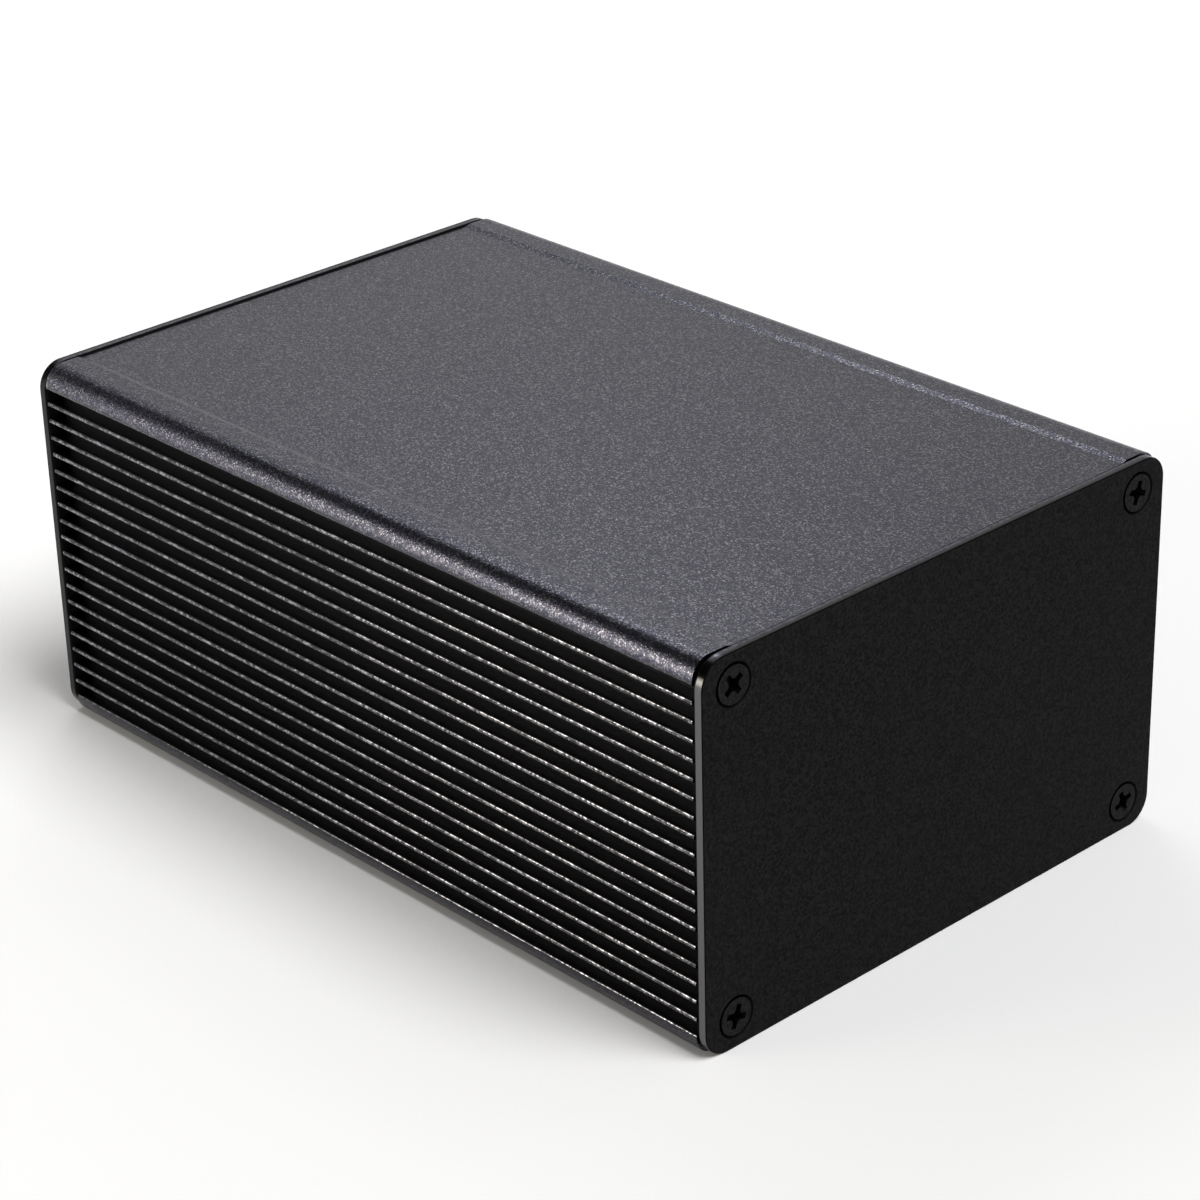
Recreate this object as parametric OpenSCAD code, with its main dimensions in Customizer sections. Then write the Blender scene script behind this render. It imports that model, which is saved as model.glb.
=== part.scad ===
// Extruded aluminium project box: two half shells, two end panels and their countersunk screws.
// Frame: +X along the length, +Y across the width, +Z up, origin at the middle of the underside.

/* [Body] */
// Length of the two shells
body_l = 100; // [60:1:200]
// Width over the ribbed sides
body_w = 66; // [50:1:100]
// Height of the closed box
body_h = 42.5; // [38:0.5:60]
// Radius of the long edges
edge_r = 2.25; // [1.5:0.05:3]
// Thickness of the top and bottom walls
wall_t = 2; // [1.2:0.1:2.6]
// Thickness of the side walls behind the grooves
side_t = 1.3; // [1:0.1:2.4]
// Width of the border along each side of the top and the underside
border_w = 4.4; // [3:0.1:8]
// Depth of the shallow recess between the borders
recess_d = 0.22; // [0.1:0.02:0.4]
// Width of the slope from a border down to the recess
slope_w = 0.8; // [0.2:0.1:2]

/* [Ribs] */
// Distance from rib to rib
rib_pitch = 2; // [1.8:0.1:4]
// Width of one groove between ribs
groove_w = 1.38; // [0.8:0.02:1.5]
// Depth of the grooves
groove_d = 1.7; // [0.6:0.1:2]
// Rounding of the ribs' edges, at most about half a rib
rib_edge_r = 0.29; // [0.1:0.01:0.4]

/* [Seam] */
// Height of the thick rail along the seam, in each shell
rail_h = 3.6; // [2.6:0.1:5]
// Thickness of the tongue that locates one shell in the other
tongue_t = 1; // [0.6:0.1:1.4]
// Height of the tongue
tongue_h = 1.5; // [1:0.1:2]
// Play between the tongue and its slot
tongue_gap = 0.1; // [0.05:0.01:0.2]

/* [Board slots] */
// Width of one slot for a circuit board
slot_w = 1.8; // [1.2:0.1:2.4]
// Thickness of the guides between the slots
guide_t = 1.2; // [0.8:0.1:2]
// Depth of the slots
guide_d = 1.4; // [1:0.1:2]

/* [End panels] */
// Thickness of an end panel
panel_t = 1.3; // [1.1:0.1:3]
// Corner radius of an end panel
panel_corner_r = 2.9; // [1.5:0.1:4]
// How far a panel's edge stays inside the shells' outline
panel_inset = 0; // [0:0.05:0.4]
// Rounding of a panel's rear edge
panel_back_r = 0.5; // [0.2:0.05:0.6]
// Rounding of a panel's front edge
panel_front_r = 0.12; // [0.05:0.01:0.3]

/* [Screws] */
// Distance of a screw from the side of the box
screw_side = 4.1; // [3.8:0.1:6]
// Distance of a screw from the top or bottom of the box
screw_edge = 3.4; // [3.2:0.1:5]
// Diameter of a screw's plain neck
screw_d = 2.5; // [2.2:0.1:3]
// Diameter of a screw's core, below the neck
core_d = 2.1; // [1.6:0.1:2.2]
// Length of a screw, head included
screw_l = 8; // [5:0.5:14]
// Length of the bevel at a screw's tip
tip_l = 0.4; // [0.2:0.1:0.8]
// Diameter of a screw's head
head_d = 4; // [3.6:0.1:5]
// Height of the straight rim round a head
head_rim = 0.34; // [0.05:0.01:0.34]
// Width of the ring that shows round a head
head_ring = 0.32; // [0.26:0.01:0.4]
// Play between a head and its seat
head_gap = 0.02; // [0.01:0.01:0.05]
// Panel left below the bottom of a head's seat
seat_floor = 0.25; // [0.1:0.05:0.4]
// Play of a screw's neck in its panel hole
hole_gap = 0.15; // [0.1:0.05:0.3]
// Play of a screw's core in its channel
channel_gap = 0.05; // [0.02:0.01:0.15]
// Wall round a screw channel
channel_wall = 1.2; // [0.8:0.1:1.4]
// Width of the mouth that opens a screw channel to the inside
channel_mouth = 1; // [0.5:0.1:1.4]

/* [Cross recess] */
// Span of the cross at the head's face
cross_span = 2.6; // [1.8:0.1:2.8]
// Span of the cross at its foot
cross_foot = 1.3; // [0.8:0.1:1.6]
// Width of the cross's wings
cross_wing = 0.65; // [0.3:0.05:0.7]
// Diameter of the round core where the wings meet
cross_core = 1.35; // [0.8:0.05:1.4]
// Depth of the cross
cross_d = 1.1; // [0.6:0.1:1.4]

/* [Hidden] */
ends = ["front", "rear"];
corners = ["upper_left", "upper_right", "lower_left", "lower_right"];
screw_names = [for (e = ends, c = corners) str(e, "_screw_", c)];
$fn = 64;

// How far a cut runs past the face that it opens
cut = 0.5;
// Sides of a panel that each corner lies on, across and up, seen from outside
corner_sides = [[-1, 1], [1, 1], [-1, -1], [1, -1]];
// Turn of each screw's cross, in the order of the screws' names
screw_turns = [38, -17, -18, 20, 12, -33, 27, -6];

shell_black = "#2b2c2f";
panel_black = "#202123";
screw_black = "#19191a";

half_h = body_h / 2;
side_y = body_w / 2;
groove_y = side_y - groove_d;
inner_y = groove_y - side_t;
guide_y = inner_y - guide_d;
tongue_y = (groove_y + guide_y) / 2;
rail_z = half_h - rail_h;
crest_r = min(rib_edge_r, 0.48 * (rib_pitch - groove_w));
groove_count = floor((half_h - edge_r - crest_r - groove_w / 2) / rib_pitch);

core_r = core_d / 2;
neck_r = screw_d / 2;
head_r = head_d / 2;
screw_y = side_y - screw_side;
screw_z = half_h - screw_edge;
channel_r = core_r + channel_gap;
boss_r = channel_r + channel_wall;
guide_step = slot_w + guide_t;
guide_count = floor((rail_z - screw_edge - boss_r) / guide_step);

panel_w = body_w - 2 * panel_inset;
panel_h = body_h - 2 * panel_inset;
hole_r = neck_r + hole_gap;
sink_r = head_r + head_ring;
seat_slope = (sink_r - hole_r) / (panel_t - seat_floor);
head_sink = (head_ring - head_gap) / seat_slope - head_rim;
head_z = panel_t - head_sink;

// A rectangle on the right side of a section (s = 1) or its match on the left (s = -1)
module bar(s, y_in, y_out, z, h) {
    translate([s > 0 ? y_in : -y_out, z]) square([y_out - y_in, h]);
}

// Outline of the lower half, with its rounded long edges
module half_outline() {
    translate([-side_y, edge_r]) square([body_w, half_h - edge_r]);
    translate([edge_r - side_y, 0]) square([body_w - 2 * edge_r, half_h]);
    for (s = [-1, 1]) translate([s * (side_y - edge_r), edge_r]) circle(edge_r);
}

// One groove at height z in side s, with a flared mouth that rounds the ribs beside it
module groove(s, z) {
    mouth_w = groove_w + 2 * crest_r;
    mouth_y = side_y - crest_r;
    bar(s, groove_y, side_y + cut, z - groove_w / 2, groove_w);
    difference() {
        bar(s, mouth_y, side_y + cut, z - mouth_w / 2, mouth_w);
        for (e = [-1, 1]) translate([s * mouth_y, z + e * mouth_w / 2]) circle(crest_r);
    }
}

// The rail along the seam, the guides of the board slots and the wall of the screw channel
module side_fittings(s) {
    bar(s, guide_y, groove_y, rail_z, rail_h);
    for (k = [1 : guide_count]) bar(s, guide_y, groove_y, rail_z - k * guide_step, guide_t);
    translate([s * screw_y, screw_edge]) circle(boss_r);
}

// The screw channel with its mouth, and the grooves
module side_cuts(s) {
    translate([s * screw_y, screw_edge]) circle(channel_r);
    bar(s, screw_y - boss_r - cut, screw_y, screw_edge - channel_mouth / 2, channel_mouth);
    for (k = [0 : groove_count]) groove(s, half_h - k * rib_pitch);
}

// The shallow recess between the borders of the underside
module recess() {
    rim_y = side_y - border_w;
    floor_y = rim_y - slope_w;
    polygon([
        [-rim_y, -cut], [-rim_y, 0], [-floor_y, recess_d],
        [floor_y, recess_d], [rim_y, 0], [rim_y, -cut]
    ]);
}

// The tongue on side s, or its slot where there is play round it
module tongue(s, play) {
    tongue_half = tongue_t / 2 + play;
    reach = tongue_h + play;
    bar(s, tongue_y - tongue_half, tongue_y + tongue_half, half_h - reach, 2 * reach);
}

// Section of one shell: the lower one as it lies, the upper one turned over
module shell_section() {
    difference() {
        union() {
            difference() {
                half_outline();
                translate([-inner_y, wall_t]) square([2 * inner_y, half_h]);
            }
            for (s = [-1, 1]) side_fittings(s);
            tongue(-1, 0);
        }
        for (s = [-1, 1]) side_cuts(s);
        tongue(1, tongue_gap);
        recess();
    }
}

module lower_shell() {
    color(shell_black) rotate([90, 0, 90]) linear_extrude(body_l, center = true) shell_section();
}

module upper_shell() {
    translate([0, 0, body_h]) rotate([180, 0, 0]) lower_shell();
}

// Places what is drawn on a panel, with its back on the plane z = 0, at the front or rear end
module at_end(end) {
    rotate([0, 0, end == "front" ? 0 : 180])
        translate([body_l / 2, 0, half_h]) rotate([90, 0, 90]) children();
}

// Section through a panel of half width w, with rounded front and rear edges, on the given sides
module rim(w, sides) {
    for (s = sides) {
        bar(s, 0, w - panel_back_r, 0, panel_t);
        bar(s, 0, w - panel_front_r, panel_back_r, panel_t - panel_back_r);
        bar(s, 0, w, panel_back_r, panel_t - panel_back_r - panel_front_r);
        translate([s * (w - panel_back_r), panel_back_r]) circle(panel_back_r);
        translate([s * (w - panel_front_r), panel_t - panel_front_r]) circle(panel_front_r);
    }
}

// The panel without its holes
module panel_blank() {
    span_y = panel_w / 2 - panel_corner_r;
    span_z = panel_h / 2 - panel_corner_r;
    for (c = corner_sides)
        translate([c[0] * span_y, c[1] * span_z, 0]) rotate_extrude() rim(panel_corner_r, [1]);
    rotate([90, 0, 0]) linear_extrude(2 * span_z, center = true) rim(panel_w / 2, [-1, 1]);
    rotate([90, 0, 90]) linear_extrude(2 * span_y, center = true) rim(panel_h / 2, [-1, 1]);
}

// A hole for one screw, with the conical seat of its head
module screw_hole() {
    translate([0, 0, -cut]) cylinder(h = panel_t + 2 * cut, r = hole_r);
    translate([0, 0, seat_floor])
        cylinder(h = panel_t - seat_floor + cut, r1 = hole_r, r2 = sink_r + seat_slope * cut);
}

module end_panel(end) {
    color(panel_black) at_end(end) difference() {
        panel_blank();
        for (c = corner_sides) translate([c[0] * screw_y, c[1] * screw_z, 0]) screw_hole();
    }
}

module front_panel() {
    end_panel("front");
}

module rear_panel() {
    end_panel("rear");
}

// The tapered cross in a screw's head, with the head's face on the plane z = 0
module cross_recess() {
    top = cross_span / 2;
    foot = cross_foot / 2;
    for (a = [0, 90])
        rotate([90, 0, a]) linear_extrude(cross_wing, center = true)
            polygon([[-top, cut], [top, cut], [top, 0], [foot, -cross_d], [-foot, -cross_d], [-top, 0]]);
    translate([0, 0, -cross_d]) cylinder(h = cross_d, d1 = cross_wing, d2 = cross_core);
    cylinder(h = cut, d = cross_core);
}

// A countersunk screw on the panel's own axes, seated in a hole at the origin
module screw() {
    tip_z = head_z - screw_l;
    difference() {
        rotate_extrude() polygon([
            [0, head_z], [head_r, head_z], [head_r, head_z - head_rim],
            [hole_r - head_gap, seat_floor], [neck_r, seat_floor], [neck_r, head_gap],
            [core_r, head_gap], [core_r, tip_z + tip_l], [core_r - tip_l, tip_z], [0, tip_z]
        ]);
        translate([0, 0, head_z]) cross_recess();
    }
}

// The screw with a given place in the list of screws
module panel_screw(i) {
    side = corner_sides[i % len(corners)];
    end = ends[floor(i / len(corners))];
    color(screw_black) at_end(end)
        translate([side[0] * screw_y, side[1] * screw_z, 0]) rotate([0, 0, screw_turns[i]]) screw();
}

upper_shell();
lower_shell();
front_panel();
rear_panel();
for (i = [0 : len(screw_names) - 1])
    panel_screw(i);
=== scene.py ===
"""Looks of a black extruded aluminium project box: finishes, studio and camera round its CAD frame."""

from __future__ import annotations

import logging
import math
from dataclasses import dataclass, replace
from enum import Enum

import bpy
from mathutils import Euler, Matrix, Vector


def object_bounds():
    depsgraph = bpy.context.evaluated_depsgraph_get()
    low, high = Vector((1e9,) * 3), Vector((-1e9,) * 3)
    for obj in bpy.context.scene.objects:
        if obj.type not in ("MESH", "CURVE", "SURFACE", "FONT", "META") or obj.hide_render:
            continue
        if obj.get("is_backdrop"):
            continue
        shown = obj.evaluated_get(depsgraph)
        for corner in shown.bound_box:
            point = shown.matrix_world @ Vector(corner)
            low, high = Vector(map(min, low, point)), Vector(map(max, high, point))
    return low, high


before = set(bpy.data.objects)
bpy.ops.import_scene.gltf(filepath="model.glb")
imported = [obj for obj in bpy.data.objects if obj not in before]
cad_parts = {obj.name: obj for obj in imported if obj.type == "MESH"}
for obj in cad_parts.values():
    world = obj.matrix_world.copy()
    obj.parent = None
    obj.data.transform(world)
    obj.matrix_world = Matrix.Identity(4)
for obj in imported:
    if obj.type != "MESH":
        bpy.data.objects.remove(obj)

LOG = logging.getLogger("project_box")
MM = 0.001

Colour = tuple[float, float, float]
Span = tuple[float, float]
Socket = bpy.types.NodeSocket

WHITE: Colour = (1.0, 1.0, 1.0)
WHOLE: Span = (0.0, 1.0)


class End(Enum):
    """The two ends of the box."""

    FRONT = "front"
    REAR = "rear"


class Corner(Enum):
    """The screw corners of an end panel, as seen from outside it."""

    UPPER_LEFT = "upper_left"
    UPPER_RIGHT = "upper_right"
    LOWER_LEFT = "lower_left"
    LOWER_RIGHT = "lower_right"


class Shell(Enum):
    """The two halves of the body."""

    UPPER = "upper_shell"
    LOWER = "lower_shell"


class Axis(Enum):
    """The axes of the box."""

    LENGTH = "X"
    WIDTH = "Y"
    HEIGHT = "Z"


class Trait(Enum):
    """What a mask reads of a surface: the way that it faces, or its place in metres."""

    FACING = "Normal"
    PLACE = "Object"


@dataclass(frozen=True)
class BodySize:
    """How far the box reaches from the frame's origin, in metres."""

    half_length: float
    half_width: float
    height: float

    @classmethod
    def of_box(cls, box: tuple[Vector, Vector]) -> BodySize:
        """Reads the sizes off the CAD model's box."""
        return cls(*box[1])


def below(reach: float, depths: Span) -> Span:
    """Turns depths below a face into places along the axis that the face lies across."""
    return reach - depths[0], reach - depths[1]


@dataclass
class NodeSheet:
    """The nodes of one material or of the world, with short calls to add and join them."""

    tree: bpy.types.NodeTree

    def add(self, kind: str, **settings: object) -> bpy.types.Node:
        """Adds a node.

        Args:
            kind: Blender's name of the node type.
            settings: The node's own properties, by name.

        Returns:
            The new node.
        """
        node = self.tree.nodes.new(kind)
        for name, value in settings.items():
            setattr(node, name, value)
        return node

    def join(self, source: Socket, target: Socket) -> None:
        """Leads one socket's output to another socket."""
        self.tree.links.new(source, target)

    def feed(self, value: float | tuple[float, ...] | Socket, target: Socket) -> None:
        """Gives a socket a constant, or what another socket puts out.

        Args:
            value: The constant or the other socket.
            target: The socket that takes it.
        """
        if isinstance(value, Socket):
            self.join(value, target)
        else:
            target.default_value = value

    def noise(self, size: float, detail: float) -> Socket:
        """Adds a noise that is fixed to the object.

        Args:
            size: Distance from one spot to the next, in metres.
            detail: Number of finer octaves.

        Returns:
            The socket with the noise.
        """
        place = self.add("ShaderNodeTexCoord")
        noise = self.add("ShaderNodeTexNoise")
        noise.inputs["Scale"].default_value = 1 / size
        noise.inputs["Detail"].default_value = detail
        self.join(place.outputs["Object"], noise.inputs["Vector"])
        return noise.outputs["Fac"]

    def spread(self, source: Socket, low: float, high: float, span: Span = WHOLE) -> Socket:
        """Maps a value onto a range.

        Args:
            source: The socket with the value.
            low: Result at the low end of the span.
            high: Result at the high end of the span.
            span: Part of the value's own range that is used.

        Returns:
            The socket with the result.
        """
        ranged = self.add("ShaderNodeMapRange")
        ranged.inputs["From Min"].default_value, ranged.inputs["From Max"].default_value = span
        ranged.inputs["To Min"].default_value = low
        ranged.inputs["To Max"].default_value = high
        self.join(source, ranged.inputs["Value"])
        return ranged.outputs["Result"]

    def blend(self, share: Socket, low: Colour | Socket, high: Colour | Socket) -> Socket:
        """Mixes two colours.

        Args:
            share: Share of the high colour, from 0 to 1.
            low: Colour, or a socket with it, where the share is 0.
            high: Colour, or a socket with it, where the share is 1.

        Returns:
            The socket with the mixed colour.
        """
        mix = self.add("ShaderNodeMix", data_type="RGBA")
        self.join(share, mix.inputs["Factor"])
        for name, colour in (("A", low), ("B", high)):
            target = next(s for s in mix.inputs if s.name == name and s.type == "RGBA")
            self.feed(colour if isinstance(colour, Socket) else (*colour, 1), target)
        return next(s for s in mix.outputs if s.type == "RGBA")

    def specks(self, size: float, rarity: float) -> Socket:
        """Gives a random value, from 0 to 1, to each small cell of the object.

        Args:
            size: Distance from one cell to the next, in metres.
            rarity: Power that the values are raised to, so that few cells keep a high one.

        Returns:
            The socket with the value.
        """
        place = self.add("ShaderNodeTexCoord")
        cells = self.add("ShaderNodeTexVoronoi")
        cells.inputs["Scale"].default_value = 1 / size
        parts = self.add("ShaderNodeSeparateColor")
        share = self.add("ShaderNodeMath", operation="POWER")
        share.inputs[1].default_value = rarity
        self.join(place.outputs["Object"], cells.inputs["Vector"])
        self.join(cells.outputs["Color"], parts.inputs["Color"])
        self.join(parts.outputs["Red"], share.inputs[0])
        return share.outputs[0]

    def size_along(
        self, trait: Trait, axis: Axis, span: Span, centre: float = 0, most: float = 1
    ) -> Socket:
        """Maps the size of a trait along an axis of the box, either way from a centre.

        Args:
            trait: What is read of the surface.
            axis: The axis.
            span: Size where the share leaves 0, and size where it is at its most.
            centre: Value along the axis that counts as 0.
            most: Share that it reaches.

        Returns:
            The socket with the share.
        """
        place = self.add("ShaderNodeTexCoord")
        parts = self.add("ShaderNodeSeparateXYZ")
        shift = self.add("ShaderNodeMath", operation="SUBTRACT")
        shift.inputs[1].default_value = centre
        size = self.add("ShaderNodeMath", operation="ABSOLUTE")
        self.join(place.outputs[trait.value], parts.inputs["Vector"])
        self.join(parts.outputs[axis.value], shift.inputs[0])
        self.join(shift.outputs[0], size.inputs[0])
        return self.spread(size.outputs[0], 0, most, span)

    def facing(self, axis: Axis, span: Span) -> Socket:
        """Gives how far the surface faces along an axis of the box, either way."""
        return self.size_along(Trait.FACING, axis, span)


@dataclass(frozen=True)
class Grain:
    """Relief of fine pits that blasting leaves."""

    size: float
    height: float
    detail: float = 2.0


@dataclass(frozen=True, kw_only=True)
class Finish:
    """A metal finish: mottled colour, gloss and a fine relief."""

    name: str
    colour: Colour
    speck_colour: Colour
    roughness: float
    metallic: float
    grain: Grain
    speck_size: float = 0.25 * MM
    speck_rarity: float = 1.0
    specular: float = 0.5
    full_relief: float = 1.0

    def colour_socket(self, sheet: NodeSheet) -> Socket:
        """Builds the mottled colour."""
        share = sheet.specks(self.speck_size, self.speck_rarity)
        return sheet.blend(share, self.colour, self.speck_colour)

    def metal(self, sheet: NodeSheet) -> float | Socket:
        """Gives how metallic the surface is."""
        return self.metallic

    def gloss(self, sheet: NodeSheet) -> float | Socket:
        """Gives how rough the surface is."""
        return self.roughness

    def pit_depth(self, sheet: NodeSheet) -> float | Socket:
        """Gives how much of their depth the pits have."""
        return self.full_relief

    def relief(self, sheet: NodeSheet) -> Socket:
        """Builds the fine pits.

        Args:
            sheet: Nodes of the material.

        Returns:
            The socket with the surface's normal.
        """
        bump = sheet.add("ShaderNodeBump")
        bump.inputs["Distance"].default_value = self.grain.height
        sheet.feed(self.pit_depth(sheet), bump.inputs["Strength"])
        sheet.join(sheet.noise(self.grain.size, self.grain.detail), bump.inputs["Height"])
        return bump.outputs["Normal"]

    def material(self) -> bpy.types.Material:
        """Builds the material.

        Returns:
            The new material.
        """
        made = bpy.data.materials.new(self.name)
        made.use_nodes = True
        sheet = NodeSheet(made.node_tree)
        shader = made.node_tree.nodes["Principled BSDF"]
        shader.inputs["Specular IOR Level"].default_value = self.specular
        sheet.feed(self.metal(sheet), shader.inputs["Metallic"])
        sheet.feed(self.gloss(sheet), shader.inputs["Roughness"])
        sheet.join(self.colour_socket(sheet), shader.inputs["Base Color"])
        sheet.join(self.relief(sheet), shader.inputs["Normal"])
        return made


@dataclass(frozen=True, kw_only=True)
class ShellFinish(Finish):
    """Blasted and black anodised extrusion, with rib crests lighter partly from rubbing and partly as a
    painted highlight, and painted shade in the grooves, on the corners next to them and on the foot.

    The fields that end in depths are measured inwards from the faces of the box: where a mask starts,
    and where it is full.
    """

    body: BodySize
    # Crest colours: partly rubbed metal, partly a painted highlight, with painted glints in the lighter
    # specks.
    crest_wear_and_highlight_colour: Colour = (0.032, 0.032, 0.034)
    crest_wear_and_glint_speck: Colour = (0.38, 0.377, 0.395)
    crest_rarity: float = 2.5
    crest_roughness: float = 0.12
    crest_relief: float = 0.2
    crest_speck_size: float = 0.24 * MM
    # Painted shade: the grooves and rib flanks take this colour, darker than the plain finish.
    groove_shade_colour: Colour = (0.055, 0.055, 0.06)
    # Painted shade on the rounded corners next to the ribs, and on the foot.
    corner_shade_colour: Colour = (0.035, 0.034, 0.037)
    # The crest colours reach only the outermost crest, where the painted highlight sits.
    crest_depths: Span = (0.12 * MM, 0.03 * MM)
    groove_depths: Span = (1.85 * MM, 1.75 * MM)
    ribs_end_depths: Span = (2.4 * MM, 2.25 * MM)
    corner_depths: Span = (2.4 * MM, 2.05 * MM)
    # Painted shade on the lower edges that the box stands on.
    foot_depths: Span = (2.6 * MM, 2.1 * MM)
    foot_shade_strength: float = 0.6

    def towards_sides(self, sheet: NodeSheet, depths: Span) -> Socket:
        """Builds a mask that grows towards the long sides, between two depths below them."""
        return sheet.size_along(Trait.PLACE, Axis.WIDTH, below(self.body.half_width, depths))

    def towards_faces(self, sheet: NodeSheet, depths: Span) -> Socket:
        """Builds a mask that grows towards top and underside, between two depths below them."""
        middle = self.body.height / 2
        return sheet.size_along(Trait.PLACE, Axis.HEIGHT, below(middle, depths), middle)

    def foot_shade_share(self, sheet: NodeSheet) -> Socket:
        """Builds the mask of the painted shade on the edges that the box stands on, measured down from its
        top.

        Args:
            sheet: Nodes of the material.

        Returns:
            The socket with the share.
        """
        top = self.body.height
        span = below(top, self.foot_depths)
        return sheet.size_along(Trait.PLACE, Axis.HEIGHT, span, top, self.foot_shade_strength)

    def crest_share(self, sheet: NodeSheet) -> Socket:
        """Builds the mask of the ribs' crests.

        Args:
            sheet: Nodes of the material.

        Returns:
            The socket with the share, 1 on a crest.
        """
        share = sheet.add("ShaderNodeMath", operation="SUBTRACT", use_clamp=True)
        sheet.join(self.towards_sides(sheet, self.crest_depths), share.inputs[0])
        sheet.join(self.towards_faces(sheet, self.ribs_end_depths), share.inputs[1])
        return share.outputs[0]

    def colour_socket(self, sheet: NodeSheet) -> Socket:
        """Builds the mottled colour, and those of the ribs with a painted highlight on their crests, with
        painted shade in the grooves, on the corners next to them and on the foot.

        Args:
            sheet: Nodes of the material.

        Returns:
            The socket with the colour.
        """
        plain = super().colour_socket(sheet)
        # Crests: partly rubbed metal and partly a painted highlight, with painted glints in the lighter
        # specks.
        wear_and_glint = sheet.specks(self.crest_speck_size, self.crest_rarity)
        crest = sheet.blend(wear_and_glint, self.crest_wear_and_highlight_colour, self.crest_wear_and_glint_speck)
        # Grooves and rib flanks: painted shade, darker than the plain finish.
        ribbed = sheet.blend(self.crest_share(sheet), self.groove_shade_colour, crest)
        side = sheet.blend(self.towards_sides(sheet, self.groove_depths), plain, ribbed)
        # Painted shade on the lower edges that the box stands on.
        foot = sheet.blend(self.foot_shade_share(sheet), plain, self.corner_shade_colour)
        # Painted shade on the rounded corners next to the ribs.
        border = sheet.blend(self.towards_faces(sheet, self.corner_depths), self.corner_shade_colour, foot)
        return sheet.blend(self.towards_faces(sheet, self.ribs_end_depths), side, border)

    def gloss(self, sheet: NodeSheet) -> Socket:
        """Makes the rubbed crests smoother than the blasted rest."""
        return sheet.spread(self.crest_share(sheet), self.roughness, self.crest_roughness)

    def pit_depth(self, sheet: NodeSheet) -> Socket:
        """Makes the pits shallower on the rubbed crests."""
        return sheet.spread(self.crest_share(sheet), self.full_relief, self.crest_relief)


@dataclass(frozen=True, kw_only=True)
class PanelFinish(Finish):
    """Black anodised sheet, with cut edges of bare metal, painted lighter on the long sides than on the
    rims as a painted reflection, and painted shade on bends, screw seats and the rims' front and corners.

    The fields that end in span say how far the surface faces along an axis where a mask starts, and
    where it is full.
    """

    body: BodySize
    # Long cut sides: bare metal, painted lighter than the rims above and below as a painted reflection.
    side_metal_and_reflection_colour: Colour = (0.115, 0.115, 0.116)
    rim_colour: Colour = (0.04, 0.04, 0.049)
    rim_speck: Colour = (0.14, 0.14, 0.168)
    rim_rarity: float = 1.0
    # Painted shade on the rims towards the front and in their corners.
    rim_front_shade_colour: Colour = (0.018, 0.018, 0.02)
    # Painted shade on the rounded bends and the screw seats.
    bend_shade_colour: Colour = (0.003, 0.003, 0.003)
    edge_roughness: float = 0.24
    edge_metallic: float = 1.0
    rim_front_depths: Span = (0.7 * MM, 0.25 * MM)
    flat_span: Span = (0.965, 0.99)
    edge_span: Span = (0.12, 0.3)
    rim_span: Span = (0.6, 0.8)
    rim_corner_span: Span = (0.12, 0.45)
    side_span: Span = (0.86, 0.93)

    def rim_socket(self, sheet: NodeSheet) -> Socket:
        """Builds the colour of the upper and lower cut edges, with painted shade to the front and in the
        corners.

        Args:
            sheet: Nodes of the material.

        Returns:
            The socket with the colour.
        """
        sparkle = sheet.specks(self.speck_size, self.rim_rarity)
        blasted = sheet.blend(sparkle, self.rim_colour, self.rim_speck)
        front_span = below(self.body.half_length, self.rim_front_depths)
        front = sheet.size_along(Trait.PLACE, Axis.LENGTH, front_span)
        # Painted shade towards the front and in the corners of the rims.
        front_shaded = sheet.blend(front, blasted, self.rim_front_shade_colour)
        corner_shaded = sheet.blend(sheet.facing(Axis.WIDTH, self.rim_corner_span), front_shaded, self.rim_front_shade_colour)
        return sheet.blend(sheet.facing(Axis.HEIGHT, self.rim_span), self.bend_shade_colour, corner_shaded)

    def colour_socket(self, sheet: NodeSheet) -> Socket:
        """Builds the mottled colour, lighter on the cut edges with a painted reflection on the long sides,
        and with painted shade on bends and screw seats.

        Args:
            sheet: Nodes of the material.

        Returns:
            The socket with the colour.
        """
        flat = sheet.facing(Axis.LENGTH, self.flat_span)
        # Painted shade on bends and screw seats.
        face = sheet.blend(flat, self.bend_shade_colour, super().colour_socket(sheet))
        # Painted reflection: the long sides lighter than the rims.
        side = sheet.facing(Axis.WIDTH, self.side_span)
        edge = sheet.blend(side, self.rim_socket(sheet), self.side_metal_and_reflection_colour)
        return sheet.blend(sheet.facing(Axis.LENGTH, self.edge_span), edge, face)

    def metal(self, sheet: NodeSheet) -> Socket:
        """Makes the cut edges bare metal."""
        return sheet.spread(sheet.facing(Axis.LENGTH, self.edge_span), self.edge_metallic, self.metallic)

    def gloss(self, sheet: NodeSheet) -> Socket:
        """Makes the cut edges smoother than the matt faces."""
        return sheet.spread(sheet.facing(Axis.LENGTH, self.edge_span), self.edge_roughness, self.roughness)


@dataclass(frozen=True, kw_only=True)
class ScrewFinish(Finish):
    """Blackened steel in patches of more and less gloss, with painted shade in the recess and round the
    head.
    """

    # Painted shade in the cross recess and round the head.
    recess_shade_colour: Colour = (0.001, 0.001, 0.001)
    face_span: Span = (0.965, 0.99)
    least_roughness: float = 0.36
    patch_size: float = 0.425 * MM
    patch_detail: float = 2.0
    patch_span: Span = (0.3, 0.7)

    def colour_socket(self, sheet: NodeSheet) -> Socket:
        """Builds the mottled colour, with painted shade where the surface turns away from the panel's
        face.
        """
        flat = sheet.facing(Axis.LENGTH, self.face_span)
        return sheet.blend(flat, self.recess_shade_colour, super().colour_socket(sheet))

    def gloss(self, sheet: NodeSheet) -> Socket:
        """Makes the gloss patchy."""
        patches = sheet.noise(self.patch_size, self.patch_detail)
        return sheet.spread(patches, self.least_roughness, self.roughness, self.patch_span)


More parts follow.
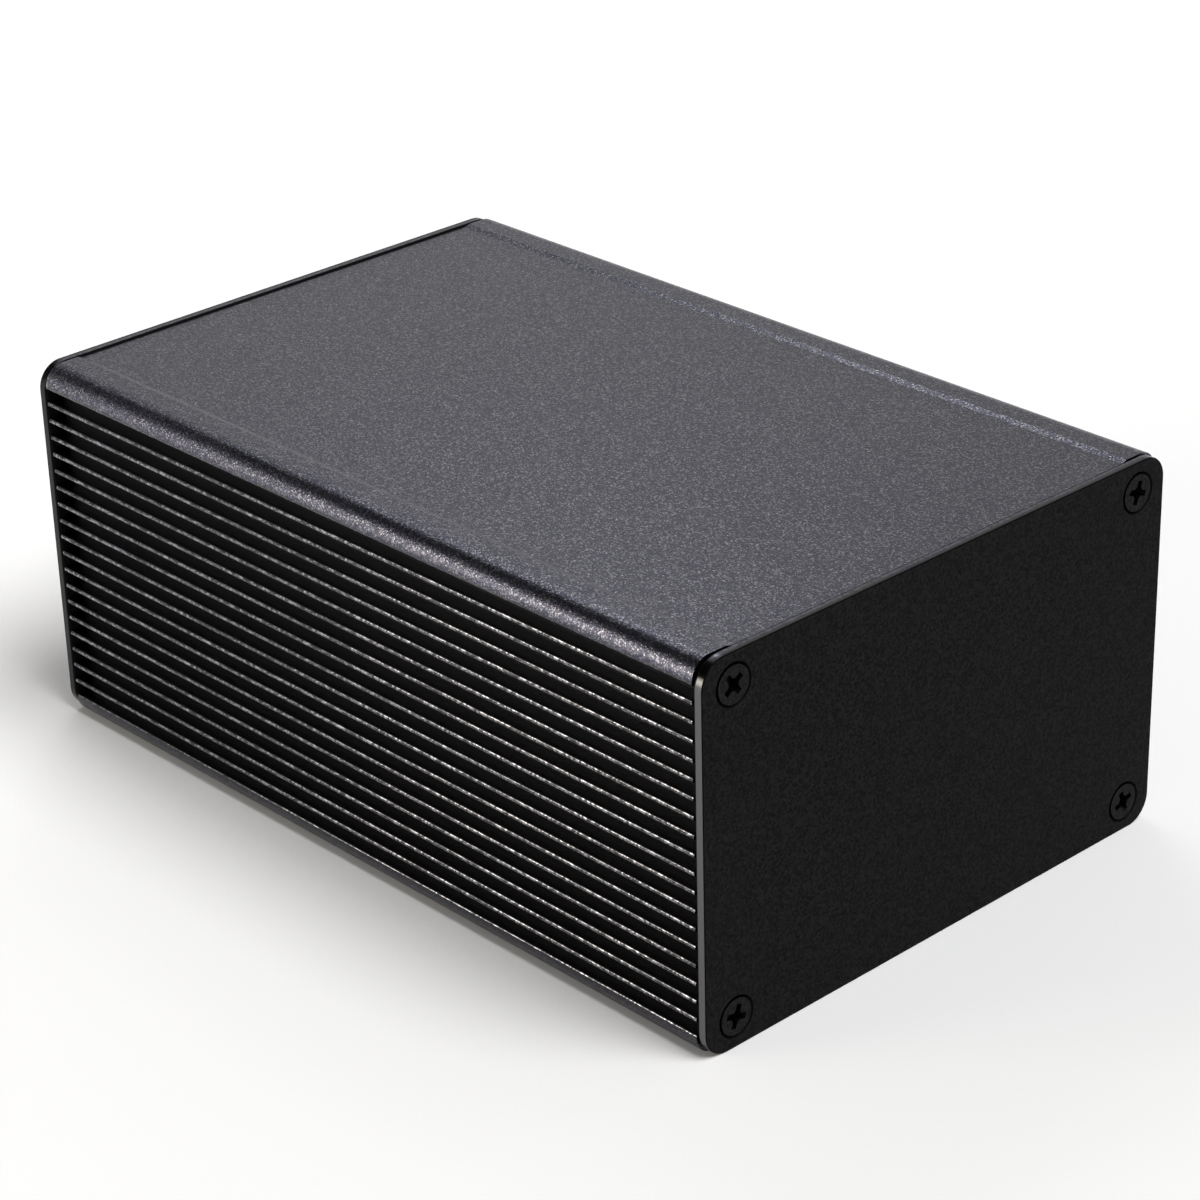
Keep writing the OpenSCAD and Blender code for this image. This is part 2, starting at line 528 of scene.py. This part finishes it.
def dress(node: str, material: bpy.types.Material) -> None:
    """Gives the CAD node of a name its finish."""
    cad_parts[node].material_slots[0].material = material
    LOG.info("%s: dressed with %s", node, material.name)


@dataclass
class ShellPair:
    """The two extruded half shells of the body."""

    body: BodySize

    def finish(self) -> ShellFinish:
        """Makes the shells' finish.

        Returns:
            The finish.
        """
        return ShellFinish(
            name="blasted_black_shell",
            body=self.body,
            colour=(0.0508, 0.0508, 0.0705),
            speck_colour=(0.262, 0.261, 0.283),
            roughness=0.27,
            metallic=1.0,
            grain=Grain(size=0.17 * MM, height=0.031 * MM, detail=1.0),
            speck_size=0.145 * MM,
            speck_rarity=4.0,
        )

    def dress(self) -> None:
        """Gives both shells their finish."""
        material = self.finish().material()
        for shell in Shell:
            dress(shell.value, material)


@dataclass
class EndPanels:
    """The flat panels that close the ends, the rear one with painted shade on its cut sides."""

    body: BodySize
    # Painted shade: the rear panel's cut sides are darker than the front panel's.
    rear_side_shade_colour: Colour = (0.018, 0.018, 0.019)

    def finish(self, end: End) -> PanelFinish:
        """Makes a panel's finish.

        Args:
            end: End of the box that the panel closes.

        Returns:
            The finish.
        """
        front = PanelFinish(
            name="matt_black_panel",
            body=self.body,
            colour=(0.0035, 0.0035, 0.0035),
            speck_colour=(0.0118, 0.0118, 0.0116),
            roughness=0.5,
            metallic=0.0,
            grain=Grain(size=0.2 * MM, height=0.004 * MM),
            specular=0.02,
        )
        rear = replace(front, name="matt_black_rear_panel_shaded", side_metal_and_reflection_colour=self.rear_side_shade_colour)
        return front if end is End.FRONT else rear

    def dress(self) -> None:
        """Gives each panel its finish."""
        for end in End:
            dress(f"{end.value}_panel", self.finish(end).material())


@dataclass
class PanelScrews:
    """The countersunk screws of both panels."""

    finish: ScrewFinish = ScrewFinish(
        name="blackened_screw",
        colour=(0.0055, 0.0055, 0.0055),
        speck_colour=(0.0145, 0.0145, 0.0142),
        roughness=0.46,
        metallic=0.0,
        grain=Grain(size=0.15 * MM, height=0.003 * MM),
        specular=0.02,
    )

    def dress(self) -> None:
        """Gives all the screws their finish."""
        material = self.finish.material()
        for end in End:
            for corner in Corner:
                dress(f"{end.value}_screw_{corner.value}", material)


@dataclass
class Camera:
    """The camera at the photograph's viewing angle."""

    aim_mm: tuple[float, float, float] = (1.485, 0.730, 20.037)
    azimuth: float = math.radians(47.380)
    elevation: float = math.radians(26.279)
    roll: float = math.radians(-1.554)
    distance: float = 378.80 * MM
    lens: float = 105.57
    sensor: float = 36.0
    nearest: float = 10 * MM

    def build(self) -> None:
        """Makes the camera and hands it to the scene."""
        data = bpy.data.cameras.new("camera")
        data.lens = self.lens
        data.sensor_width = self.sensor
        data.clip_start = self.nearest
        camera = bpy.data.objects.new("camera", data)
        level = math.cos(self.elevation)
        back = Vector(
            (level * math.sin(self.azimuth), -level * math.cos(self.azimuth), math.sin(self.elevation))
        )
        place = Vector(self.aim_mm) * MM + back * self.distance
        turn = (-back).to_track_quat("-Z", "Y").to_matrix() @ Matrix.Rotation(self.roll, 3, "Z")
        camera.matrix_world = Matrix.Translation(place) @ turn.to_4x4()
        bpy.context.scene.collection.objects.link(camera)
        bpy.context.scene.camera = camera


@dataclass(frozen=True)
class SoftBox:
    """A soft box that looks at the middle of the object."""

    name: str
    place_mm: tuple[float, float, float]
    size: tuple[float, float]
    radiance: float
    colour: Colour = WHITE

    def build(self) -> None:
        """Makes the lamp."""
        data = bpy.data.lights.new(self.name, "AREA")
        data.shape = "RECTANGLE"
        data.size, data.size_y = self.size
        data.energy = self.radiance * math.pi * self.size[0] * self.size[1]
        data.color = self.colour
        lamp = bpy.data.objects.new(self.name, data)
        lamp.location = Vector(self.place_mm) * MM
        lamp.rotation_euler = (-lamp.location).to_track_quat("-Z", "Y").to_euler()
        bpy.context.scene.collection.objects.link(lamp)


@dataclass
class Studio:
    """A pale floor, a white surround and soft lamps.

    The surround is as bright as wall, and overhead as ceiling, times side at the front and back behind
    the box. The fields that end in from say where each change starts and ends.
    """

    floor_radius: float = 6.0
    floor_colour: Colour = (0.97, 0.97, 0.97)
    floor_roughness: float = 0.9
    floor_specular: float = 0.1
    wall: float = 1.0
    ceiling: float = 0.08
    ceiling_from: Span = (0.42, 0.56)
    ceiling_tilt: float = -0.15
    side: float = 0.8
    back: float = 0.67
    back_from: Span = (-0.2, 0.3)
    sun_tilt: float = math.radians(29)
    sun_heading: float = math.radians(100)
    sun_strength: float = 2.5
    sun_angle: float = math.radians(35)
    boxes: tuple[SoftBox, ...] = (
        SoftBox(
            name="side_box",
            place_mm=(-287, -506, 122),
            size=(0.26, 0.27),
            radiance=5.0,
            colour=(1.0, 0.92, 0.8),
        ),
        SoftBox(name="back_box", place_mm=(-280, 85, 397), size=(0.18, 0.18), radiance=1.8),
        SoftBox(name="recess_box", place_mm=(-262, 228, 392), size=(0.1, 0.1), radiance=4.5),
    )

    def floor_material(self) -> bpy.types.Material:
        """Makes the floor's material, which a camera looks through from below.

        Returns:
            The new material.
        """
        made = bpy.data.materials.new("pale_floor")
        made.use_nodes = True
        sheet = NodeSheet(made.node_tree)
        shader = made.node_tree.nodes["Principled BSDF"]
        shader.inputs["Base Color"].default_value = (*self.floor_colour, 1)
        shader.inputs["Roughness"].default_value = self.floor_roughness
        shader.inputs["Specular IOR Level"].default_value = self.floor_specular
        clear = sheet.add("ShaderNodeBsdfTransparent")
        side = sheet.add("ShaderNodeNewGeometry")
        mix = sheet.add("ShaderNodeMixShader")
        sheet.join(side.outputs["Backfacing"], mix.inputs["Fac"])
        sheet.join(shader.outputs["BSDF"], mix.inputs[1])
        sheet.join(clear.outputs["BSDF"], mix.inputs[2])
        sheet.join(mix.outputs["Shader"], made.node_tree.nodes["Material Output"].inputs["Surface"])
        return made

    def floor(self) -> None:
        """Makes the floor."""
        mesh = bpy.data.meshes.new("floor")
        r = self.floor_radius
        mesh.from_pydata([(-r, -r, 0), (r, -r, 0), (r, r, 0), (-r, r, 0)], [], [(0, 1, 2, 3)])
        mesh.materials.append(self.floor_material())
        floor = bpy.data.objects.new("floor", mesh)
        bpy.context.scene.collection.objects.link(floor)
        floor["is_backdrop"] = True

    def surround(self) -> None:
        """Makes the world: white up to a height above the horizon, dimmer at the back and overhead."""
        world = bpy.data.worlds.new("surround")
        world.use_nodes = True
        bpy.context.scene.world = world
        sheet = NodeSheet(world.node_tree)
        place = sheet.add("ShaderNodeTexCoord")
        parts = sheet.add("ShaderNodeSeparateXYZ")
        sheet.join(place.outputs["Generated"], parts.inputs["Vector"])
        height = sheet.add("ShaderNodeMath", operation="MULTIPLY_ADD")
        height.inputs[1].default_value = self.ceiling_tilt
        sheet.join(parts.outputs["Y"], height.inputs[0])
        sheet.join(parts.outputs["Z"], height.inputs[2])
        level = sheet.add("ShaderNodeMath", operation="MULTIPLY")
        overhead = sheet.spread(height.outputs[0], self.wall, self.ceiling, self.ceiling_from)
        sheet.join(overhead, level.inputs[0])
        sheet.join(sheet.spread(parts.outputs["Y"], self.side, self.back, self.back_from), level.inputs[1])
        background = world.node_tree.nodes["Background"]
        background.inputs["Color"].default_value = (*WHITE, 1)
        sheet.join(level.outputs[0], background.inputs["Strength"])

    def lamps(self) -> None:
        """Makes the soft sun and the soft boxes."""
        sun = bpy.data.lights.new("sun", "SUN")
        sun.energy = self.sun_strength
        sun.angle = self.sun_angle
        sun_lamp = bpy.data.objects.new("sun", sun)
        sun_lamp.rotation_euler = Euler((self.sun_tilt, 0, self.sun_heading))
        bpy.context.scene.collection.objects.link(sun_lamp)
        for box in self.boxes:
            box.build()

    def build(self) -> None:
        """Makes the whole studio."""
        bpy.context.scene.view_settings.view_transform = "Standard"
        self.floor()
        self.surround()
        self.lamps()


def main() -> None:
    """Dresses the box and sets up its studio."""
    logging.basicConfig(level=logging.INFO, format="%(name)s: %(message)s")
    cad_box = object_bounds()
    body = BodySize.of_box(cad_box)
    Camera().build()
    ShellPair(body).dress()
    EndPanels(body).dress()
    PanelScrews().dress()
    Studio().build()


if __name__ == "__main__":
    main()
